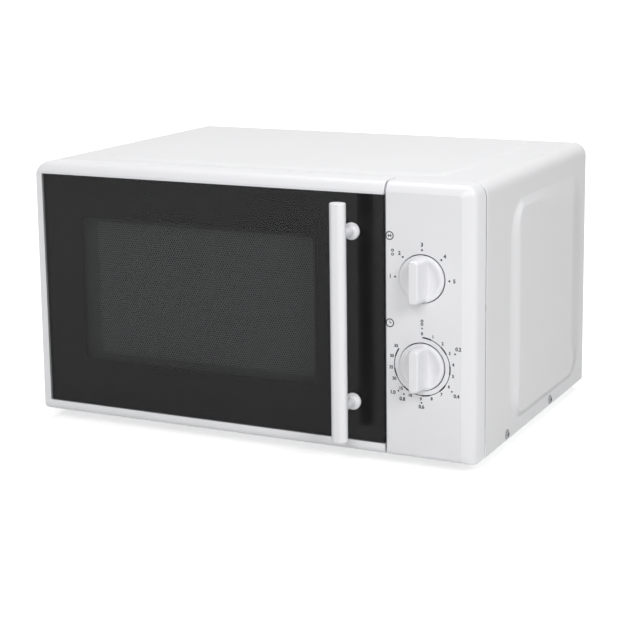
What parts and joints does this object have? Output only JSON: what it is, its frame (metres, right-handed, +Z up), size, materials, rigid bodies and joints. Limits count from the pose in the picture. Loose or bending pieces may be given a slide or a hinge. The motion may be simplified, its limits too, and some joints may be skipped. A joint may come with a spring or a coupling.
{
  "type": "microwave oven",
  "caption": "Countertop microwave oven: white cabinet, left-hinged black glass door with a bar handle, rotary power and timer knobs, lamp-lit cavity with a glass turntable.",
  "frame": {"origin": "under the middle of the whole oven, handle included, at the level of the feet", "axes": "+X to the right seen from the front, +Y to the rear, +Z up; the door faces -Y"},
  "size_m": [0.44, 0.34, 0.25],
  "materials": {
    "white_paint": "satin white powder coat with a fine orange-peel texture",
    "white_plastic": "moulded white plastic, semi-gloss",
    "knob_plastic": "moulded white plastic, semi-gloss",
    "door_glass": "flat tempered glass, polished",
    "black_print": "black enamel print on the back of the glass",
    "screen_paint": "dark painted steel",
    "choke_plastic": "dark grey moulded plastic",
    "clear_film": "clear plastic film",
    "galvanised": "zinc-coated sheet steel",
    "cavity_enamel": "light grey baked enamel",
    "screw_steel": "zinc-plated steel",
    "foot_rubber": "black plastic",
    "black_plastic": "black moulded plastic",
    "mica": "pressed mica sheet",
    "aluminium": "bare aluminium",
    "antenna": "spun metal cap",
    "lamination": "varnished steel laminations",
    "copper": "enamelled copper wire",
    "white_duct": "natural white heat-resistant plastic",
    "lamp_glass": "clear bulb glass",
    "circuit_board": "brown circuit board with parts",
    "table_glass": "clear tempered glass",
    "spindle_plastic": "natural white plastic",
    "spring_steel": "spring wire"
  },
  "bodies": {
    "oven": {"cabinet_cover": "white_paint", "cabinet_screws": "screw_steel", "base_plate": "galvanised", "feet": "foot_rubber", "rear_panel": "galvanised", "front_frame": "white_paint", "cord_gland": "black_plastic", "cavity_liner": "cavity_enamel", "waveguide": "galvanised", "waveguide_cover": "mica", "magnetron_body": "galvanised", "magnetron_fins": "aluminium", "magnetron_antenna": "antenna", "transformer_core": "lamination", "transformer_windings": "copper", "capacitor": "aluminium", "capacitor_bracket": "galvanised", "diode": "black_plastic", "fan_shroud": "white_duct", "fan_motor": "lamination", "air_duct": "white_duct", "lamp_socket": "white_duct", "lamp_bulb": "lamp_glass", "thermal_cutout": "black_plastic", "line_filter_board": "circuit_board", "fuse": "lamp_glass", "turntable_motor": "galvanised", "control_panel": "white_plastic", "control_bracket": "galvanised", "power_selector": "white_duct", "timer_unit": "white_duct", "timer_bell": "galvanised", "hinge_brackets": "galvanised", "latch_housing": "white_duct", "interlock_switches": "black_plastic"},
    "door": {"door_frame": "white_plastic", "door_glass": "door_glass", "glass_mask": "black_print", "door_chassis": "screen_paint", "door_screen": "screen_paint", "choke_cover": "choke_plastic", "inner_film": "clear_film", "handle_bar": "white_plastic", "handle_posts": "white_plastic", "handle_screws": "screw_steel", "hinge_bushes": "white_duct", "latch_spring": "spring_steel"},
    "latch": {"latch_hooks": "white_duct"},
    "power_dial": {"power_knob": "knob_plastic", "power_spindle": "spindle_plastic"},
    "timer_dial": {"timer_knob": "knob_plastic", "timer_spindle": "spindle_plastic"},
    "fan": {"fan_blades": "white_duct", "fan_shaft": "screw_steel"},
    "turntable_drive": {"turntable_coupler": "white_duct"},
    "turntable": {"glass_turntable": "table_glass"},
    "roller_ring": {"roller_ring": "white_duct"},
    "roller_1": {"roller_wheel_1": "white_duct"},
    "roller_2": {"roller_wheel_2": "white_duct"},
    "roller_3": {"roller_wheel_3": "white_duct"}
  },
  "joints": [
    {"name": "door_hinge", "type": "hinge", "parent": "oven", "child": "door", "pos_m": [-0.2115, -0.1195, 0.13], "axis": [0, 0, -1], "range_deg": [0, 95]},
    {"name": "latch_lift", "type": "slide", "parent": "door", "child": "latch", "axis": [0, 0, 1], "range_m": [0, 0.004], "stiffness_N_per_m": 500, "springref_m": -0.002, "deforming": ["latch_spring"]},
    {"name": "power_knob_turn", "type": "hinge", "parent": "oven", "child": "power_dial", "pos_m": [0.171, -0.142, 0.168], "axis": [0, 1, 0], "range_deg": [-90, 90]},
    {"name": "timer_knob_turn", "type": "hinge", "parent": "oven", "child": "timer_dial", "pos_m": [0.171, -0.142, 0.092], "axis": [0, 1, 0], "range_deg": [0, 304]},
    {"name": "fan_spin", "type": "hinge", "parent": "oven", "child": "fan", "pos_m": [0.1578, 0.148, 0.1735], "axis": [0, 1, 0], "continuous": true},
    {"name": "turntable_spin", "type": "hinge", "parent": "oven", "child": "turntable_drive", "pos_m": [-0.049, 0.0204, 0.03], "axis": [0, 0, 1], "continuous": true},
    {"name": "turntable_lift", "type": "slide", "parent": "turntable_drive", "child": "turntable", "axis": [0, 0, 1], "range_m": [0, 0.03]},
    {"name": "roller_ring_spin", "type": "hinge", "parent": "oven", "child": "roller_ring", "pos_m": [-0.049, 0.0204, 0.039], "axis": [0, 0, 1], "continuous": true},
    {"name": "roller_1_spin", "type": "hinge", "parent": "roller_ring", "child": "roller_1", "pos_m": [0.045, 0.0204, 0.039], "axis": [1, 0, 0], "continuous": true},
    {"name": "roller_2_spin", "type": "hinge", "parent": "roller_ring", "child": "roller_2", "pos_m": [-0.096, 0.10181, 0.039], "axis": [-0.5, 0.866, 0], "continuous": true},
    {"name": "roller_3_spin", "type": "hinge", "parent": "roller_ring", "child": "roller_3", "pos_m": [-0.096, -0.06101, 0.039], "axis": [-0.5, -0.866, 0], "continuous": true}
  ],
  "couplings": [
    {"joint": "roller_ring_spin", "follows": "turntable_spin", "ratio": 0.5},
    {"joint": "roller_1_spin", "follows": "turntable_spin", "ratio": -6.7143},
    {"joint": "roller_2_spin", "follows": "turntable_spin", "ratio": -6.7143},
    {"joint": "roller_3_spin", "follows": "turntable_spin", "ratio": -6.7143}
  ]
}
